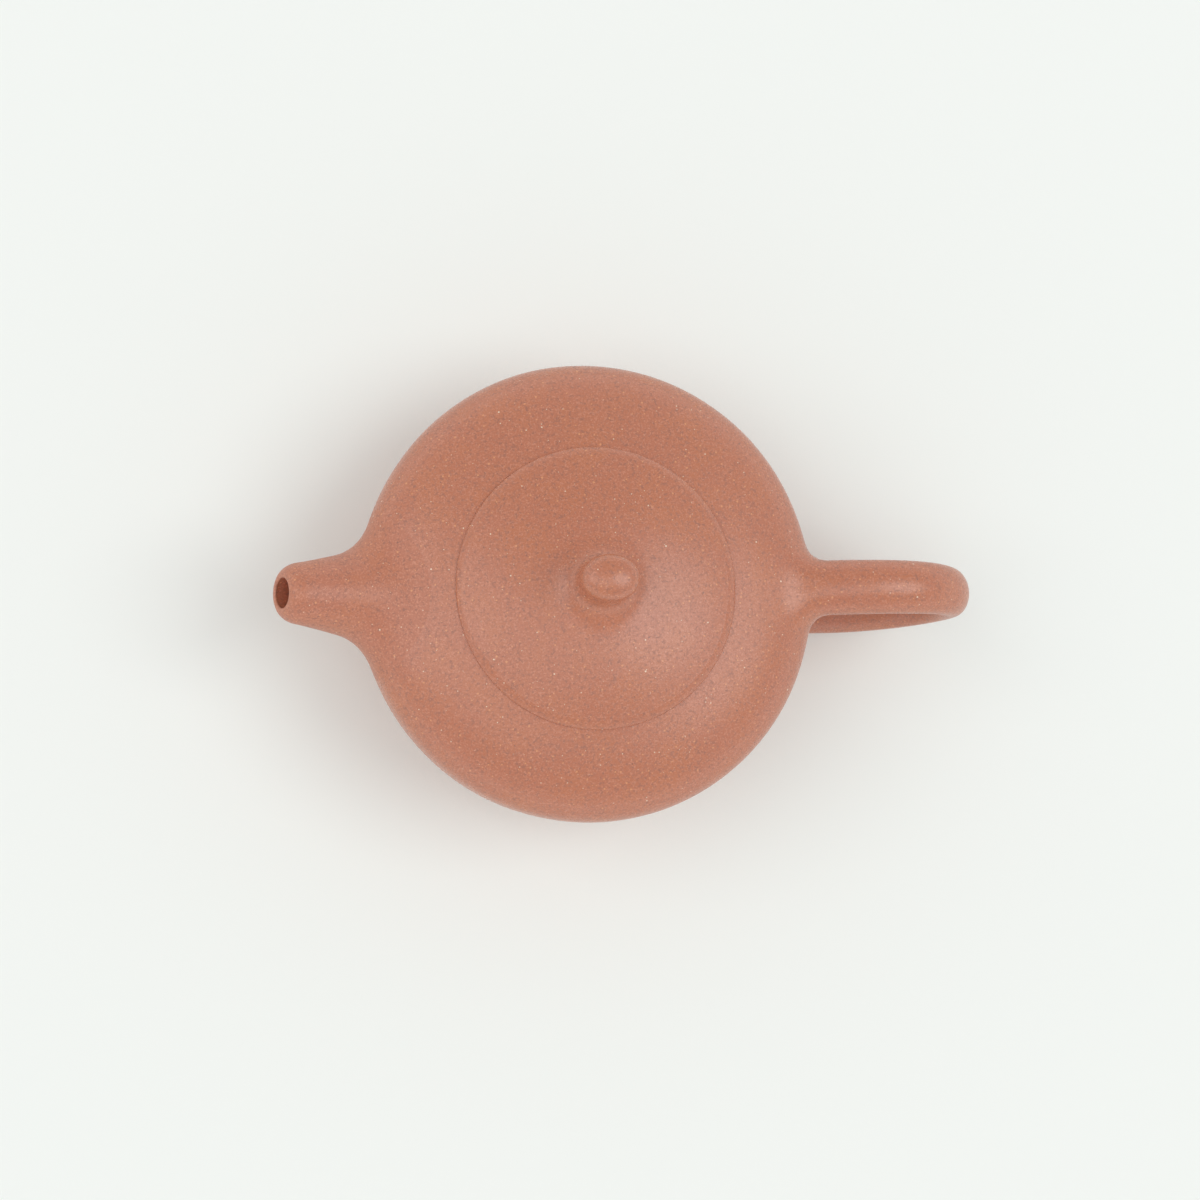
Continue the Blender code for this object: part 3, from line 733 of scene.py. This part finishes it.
def makeHandle():
    line = handleLine()
    share = lengthsAlong(line) / lengthsAlong(line)[-1]
    ahead = np.gradient(line, axis=0)
    ahead /= np.linalg.norm(ahead, axis=1)[:, None]
    scale = 1.0 + (handle["waist"] - 1.0) * np.sin(np.pi * share) ** handle["waistPower"]
    top = body["height"] + handle["topRise"]
    rolled = math.tan(handle["roll"]) * (top - line[:, 1])
    swung = math.tan(handle["swing"]) * (line[:, 0] - bellyRadius)
    spine = np.column_stack([line[:, 0], -rolled - swung, line[:, 1]])
    half = int(np.argmin(scale))
    rings = []
    for angle in np.arange(handle["sides"]) * 2 * np.pi / handle["sides"]:
        thick = scale * handle["thickness"] / 2 * math.cos(angle)
        wide = scale * handle["width"] / 2 * math.sin(angle)
        offset = np.column_stack([-ahead[:, 1] * thick, wide, ahead[:, 0] * thick])
        surface = spine + offset
        outwards = offset / np.linalg.norm(offset, axis=1)[:, None]
        upper, lower = surface[half::-1], surface[half:]
        over = handle["topBlend"] * max(math.cos(angle), 0.0) ** 2
        keptUp, blendUp = drawnOut(
            upper, outwards[half::-1], handle["blendReach"] + over, handle["blendSpread"] + over)
        keptLow, blendLow = drawnOut(lower, outwards[half:], handle["blendReach"], handle["blendSpread"])
        armUp = sampled(upper, 0.0, keptUp, handle["stations"])[::-1]
        armLow = sampled(lower, 0.0, keptLow, handle["stations"])
        rings.append(np.vstack([blendUp[::-1], armUp[1:], armLow[1:], blendLow[1:]]))
    rings = np.array(rings).transpose(1, 0, 2)
    points = unevenByHand(rings.reshape(-1, 3))
    makePiece("ear_handle", points, ringFaces(rings, False), "pot", ["handle"], outerClay)


makeBody()
makeFoot()
makeSpout()
makeHandle()


# lid: dome, plate, flange and knob

lid = {
    "land": 6.4 * mm,
    "thickness": 3.1 * mm,
    "edge": 0.12 * mm,
    "edgeRound": 1.8 * mm,
    "edgePull": 0.36,
    "seam": 0.03 * mm,
    "edgeSlope": math.radians(18.0),
    "fullness": 0.31,
    "flatness": 0.32,
    "hollowRise": 0.5,  # of the dome's inside, straight up
    "hollowSpan": 0.6,  # and level under its top
    "flangeThickness": 2.3 * mm,
    "flangeRound": 0.7 * mm,
    "flangeTaper": (0.2 * mm, 0.3 * mm),  # outside and inside
    "flangeOverlap": 0.1 * mm,
}
lidUnder = rimTop + lid["seam"]  # the lid sits close on the shoulder
lidEdge = np.array((lidRadius, lidUnder + lid["edge"]))
lidBrow = np.array((lidRadius - lid["edgeRound"], plateTop))
lidWay = np.array((-math.cos(lid["edgeSlope"]), math.sin(lid["edgeSlope"])))
lidLine = evenly(curve((  # from the top on the axis out to the brow over the edge
    (0.0, lidTop),
    (lid["flatness"] * lidRadius, lidTop),
    lidBrow + lidWay * lid["fullness"] * lidRadius,
    lidBrow,
), fineCount), fineStep)


def makeLid():
    inner = lidRadius - lid["land"]
    hollowTop = lidTop - lid["thickness"]
    hollow = curve((
        (inner, plateTop),
        (inner, plateTop + lid["hollowRise"] * (hollowTop - plateTop)),
        (lid["hollowSpan"] * inner, hollowTop),
        (0.0, hollowTop),
    ), 24)
    turnedPiece("lid_top", np.vstack([evenly(lidLine, turning["spacing"]), hollow]), "lid",
                ["lid_dome"], outerClay)
    edge = curve((
        lidBrow,
        lidBrow - lidWay * lid["edgePull"] * lid["edgeRound"],
        lidEdge + np.array((0.0, lid["edgePull"] * (lidBrow[1] - lidEdge[1]))),
        lidEdge,
    ), 12)
    nearCut, nearCorner = cornerShares
    underEdge = curve((
        lidEdge,
        lidEdge - np.array((0.0, nearCorner * lid["edge"])),
        (lidRadius - nearCut * lid["edge"], lidUnder),
        (lidRadius - lid["edge"], lidUnder),
    ), 6)
    plate = np.vstack([edge, underEdge[1:], [(inner, lidUnder), (inner, plateTop)]])
    turnedPiece("lid_underside", plate, "lid", ["lid_plate"], outerClay)
    top = lidSeat + lid["flangeOverlap"]
    outerTaper, innerTaper = lid["flangeTaper"]
    collar = rounded([
        (flangeRadius, top, 0.0),
        (flangeRadius - outerTaper, flangeLow, lid["flangeRound"]),
        (flangeRadius - lid["flangeThickness"], flangeLow, lid["flangeRound"]),
        (flangeRadius - lid["flangeThickness"] - innerTaper, top, 0.0),
    ])
    turnedPiece("lid_collar", collar, "lid", ["lid_flange"], innerClay)


knob = {
    "radius": 5.1 * mm,
    "height": 6.6 * mm,  # of the bead above its waist
    "brow": 0.66,  # where its top turns down, as a share of the radius
    "browSlope": math.radians(22.0),
    "edge": 2.7 * mm,
    "edgePulls": (0.5, 0.6),
    "waistRadius": 4.25 * mm,
    "waistPull": 0.4,
    "flareRadius": 11.4 * mm,
    "flarePulls": (0.75, 0.62),
    "sunk": 0.3 * mm,  # how far its underside lies in the dome
    "underSpacing": 1.0 * mm,
    "oval": (1.12, 0.89),  # pinched between two fingers
    "shift": Vector((-0.25 * mm, 0.35 * mm, 0.0)),  # and set on by eye
    "steps": 120,
}


def makeKnob():
    flareIndex = int(np.argmax(lidLine[:, 0] > knob["flareRadius"]))
    root = lidLine[flareIndex]
    slope = lidLine[flareIndex + 3] - lidLine[flareIndex - 3]
    slope /= np.linalg.norm(slope)
    rise = np.array((0.0, 1.0))
    down = np.array((math.cos(knob["browSlope"]), -math.sin(knob["browSlope"])))
    top = np.array((0.0, knobTop))
    browRadius = knob["brow"] * knob["radius"]
    brow = np.array((browRadius, knobTop - browRadius * math.tan(knob["browSlope"] / 2)))
    widest = np.array((knob["radius"], brow[1] - knob["edge"]))
    waist = np.array((knob["waistRadius"], knobTop - knob["height"]))
    crown = curve((top, top + np.array((browRadius / 3, 0.0)), brow - down * browRadius / 3, brow), 12)
    first, last = knob["edgePulls"]
    edge = curve((
        brow,
        brow + down * first * (widest[0] - brow[0]),
        widest + rise * last * knob["edge"],
        widest,
    ), 10)
    pull = rise * knob["waistPull"] * (widest[1] - waist[1])
    side = curve((widest, widest - pull, waist + pull, waist), 8)
    first, last = knob["flarePulls"]
    flare = curve((
        waist,
        waist - rise * first * (waist[1] - root[1]),
        root - slope * last * (knob["flareRadius"] - knob["waistRadius"]),
        root,
    ), 28)
    under = evenly(lidLine[:flareIndex + 1], knob["underSpacing"])[::-1] - rise * knob["sunk"]
    line = np.vstack([crown, edge[1:], side[1:], flare[1:], under])
    points, faces = turnedFaces(line, knob["steps"])
    placed = []
    for x, y, z in points:
        share = min(max((z - root[1]) / (waist[1] - root[1]), 0.0), 1.0)
        wide, deep = (1.0 + (stretch - 1.0) * share for stretch in knob["oval"])
        placed.append(Vector((x * wide, y * deep, z)) + knob["shift"] * share)
    makePiece("knob_bead", unevenByHand(placed), faces, "lid", ["knob"], outerClay)


makeLid()
makeKnob()


# strainer inside the pour hole

strainer = {
    "margin": 3.2 * mm,
    "wall": 1.6 * mm,
    "holeRadius": 0.85 * mm,
    "ringAngles": (0.0, 24.0, 48.0),
    "ringCounts": (1, 6, 12),
    "turn": 0.43,
    "arc": (100.0, 5.0),  # degrees from its top down to its edge, and between its rings
    "steps": 96,
    "pegLength": 2.4,  # in walls
    "pegSides": 20,
}


def makeStrainer():
    place = spoutRoot(body["wall"] / math.cos(spout["rootSlope"]))
    outer = spout["boreRoot"] + strainer["margin"]
    inner = outer - strainer["wall"]
    arcEnd, arcStep = strainer["arc"]
    arc = np.radians(np.arange(0.0, arcEnd + 1.0, arcStep))
    line = np.vstack([
        np.column_stack([outer * np.sin(arc), outer * np.cos(arc)]),
        np.column_stack([inner * np.sin(arc), inner * np.cos(arc)])[::-1],
    ])
    points, faces = turnedFaces(line, strainer["steps"])
    piece = shaped("strainer_dome", [place @ Vector(p) for p in points], faces)
    pegs = bmesh.new()
    middle = Matrix.Translation((0.0, 0.0, inner + strainer["wall"] / 2))
    for polar, count in zip(strainer["ringAngles"], strainer["ringCounts"]):
        for i in range(count):
            around = 2 * math.pi * (i + strainer["turn"]) / count
            turn = Matrix.Rotation(around, 4, "Z") @ Matrix.Rotation(math.radians(polar), 4, "Y")
            bmesh.ops.create_cone(
                pegs, cap_ends=True, segments=strainer["pegSides"],
                radius1=strainer["holeRadius"], radius2=strainer["holeRadius"],
                depth=strainer["pegLength"] * strainer["wall"], matrix=place @ turn @ middle)
    pegMesh = bpy.data.meshes.new("pegs")
    pegs.to_mesh(pegMesh)
    pegs.free()
    cutter = bpy.data.objects.new("pegs", pegMesh)
    bpy.context.scene.collection.objects.link(cutter)
    cutPiece(piece, cutter)
    dressed(piece, "pot", ["strainer"], innerClay)


makeStrainer()


# floor, light and camera

stage = {
    "floorColour": (0.885, 0.915, 0.885, 1.0),
    "floorRoughness": 0.9,
    "floorGloss": 0.1,
    "floorSize": 6.0,
    "backdrop": 0.9,  # what the camera sees past the floor
    "overhead": 0.42,  # light from all over
    "allRound": 1.0,  # and more of it from low down, as from pale walls
    "lowness": 2.0,  # how soon that fades with height
    "lamps": {
        "right_softbox": {"energy": 0.76, "azimuth": -6.0, "elevation": 62.0, "angle": 36.0},
        "left_softbox": {"energy": 0.55, "azimuth": 176.0, "elevation": 52.0, "angle": 42.0},
        "front_softbox": {"energy": 0.26, "azimuth": 240.0, "elevation": 76.0, "angle": 34.0},
    },
}


def makeFloor():
    half = stage["floorSize"] / 2
    corners = [(-half, -half, 0.0), (half, -half, 0.0), (half, half, 0.0), (-half, half, 0.0)]
    mesh = bpy.data.meshes.new("floor")
    mesh.from_pydata(corners, [], [(0, 1, 2, 3)])
    floor = bpy.data.objects.new("floor", mesh)
    bpy.context.scene.collection.objects.link(floor)
    paper = bpy.data.materials.new("pale_floor")
    paper.use_nodes = True
    shader = paper.node_tree.nodes["Principled BSDF"]
    shader.inputs["Base Color"].default_value = stage["floorColour"]
    shader.inputs["Roughness"].default_value = stage["floorRoughness"]
    shader.inputs["Specular IOR Level"].default_value = stage["floorGloss"]
    mesh.materials.append(paper)


def makeSky():
    # light from all round, strongest low down, and about as pale as the floor where the camera sees it
    sky = bpy.data.worlds.new("soft_sky")
    bpy.context.scene.world = sky
    sky.use_nodes = True
    tree = sky.node_tree
    way = addNode(tree, "ShaderNodeTexCoord").outputs["Generated"]
    height = addNode(tree, "ShaderNodeSeparateXYZ", links={"Vector": way}).outputs["Z"]
    low = addNode(tree, "ShaderNodeMath", {0: 1.0}, {1: height}, operation="SUBTRACT").outputs["Value"]
    lower = addNode(tree, "ShaderNodeMath", {1: stage["lowness"]}, {0: low},
                    operation="POWER").outputs["Value"]
    light = addNode(tree, "ShaderNodeMath", {1: stage["allRound"], 2: stage["overhead"]}, {0: lower},
                    operation="MULTIPLY_ADD").outputs["Value"]
    seen = addNode(tree, "ShaderNodeLightPath").outputs["Is Camera Ray"]
    strength = addNode(tree, "ShaderNodeMix", {"B": stage["backdrop"]}, {"Factor": seen, "A": light})
    strength = strength.outputs["Result"]
    glow = tree.nodes["Background"]
    glow.inputs["Color"].default_value = (1.0, 1.0, 1.0, 1.0)
    tree.links.new(strength, glow.inputs["Strength"])


def makeLamps():
    for name, plan in stage["lamps"].items():
        data = bpy.data.lights.new(name, "SUN")
        data.energy = plan["energy"]
        data.angle = math.radians(plan["angle"])
        lamp = bpy.data.objects.new(name, data)
        azimuth, elevation = math.radians(plan["azimuth"]), math.radians(plan["elevation"])
        level = math.cos(elevation)
        way = Vector((math.cos(azimuth) * level, math.sin(azimuth) * level, math.sin(elevation)))
        lamp.rotation_euler = way.to_track_quat("Z", "Y").to_euler()
        bpy.context.scene.collection.objects.link(lamp)


camera = {
    "lean": (-0.195, -0.100),  # how far the view tips to the spout and to the front
    "turn": math.radians(0.73),
    "distance": 0.75,
    "imageWidth": 1200,
    "pixelsPerMetre": 5095.0,
    "axisPixel": (587.4, 592.9),
    "sensor": 36.0,
}


def makeCamera():
    towards = Vector((camera["lean"][0], camera["lean"][1], 1.0)).normalized()
    right = Vector((1.0, 0.0, 0.0))
    right = (right - towards * right.dot(towards)).normalized()
    up = towards.cross(right)
    turn = Matrix.Rotation(-camera["turn"], 3, "Z")
    right, up, towards = turn @ right, turn @ up, turn @ towards
    middle = camera["imageWidth"] / 2
    aside = (middle - camera["axisPixel"][0]) / camera["pixelsPerMetre"]
    above = (camera["axisPixel"][1] - middle) / camera["pixelsPerMetre"]
    aim = Vector((axisX, 0.0, body["height"])) + right * aside + up * above
    data = bpy.data.cameras.new("camera")
    data.sensor_width = camera["sensor"]
    data.lens = camera["sensor"] * camera["distance"] * camera["pixelsPerMetre"] / camera["imageWidth"]
    eye = bpy.data.objects.new("camera", data)
    eye.matrix_world = Matrix((right, up, towards)).transposed().to_4x4()
    eye.location = aim + towards * camera["distance"]
    bpy.context.scene.collection.objects.link(eye)
    bpy.context.scene.camera = eye


makeFloor()
makeSky()
makeLamps()
makeCamera()
bpy.context.scene.view_settings.view_transform = "Standard"
print("stage: floor, light and camera")
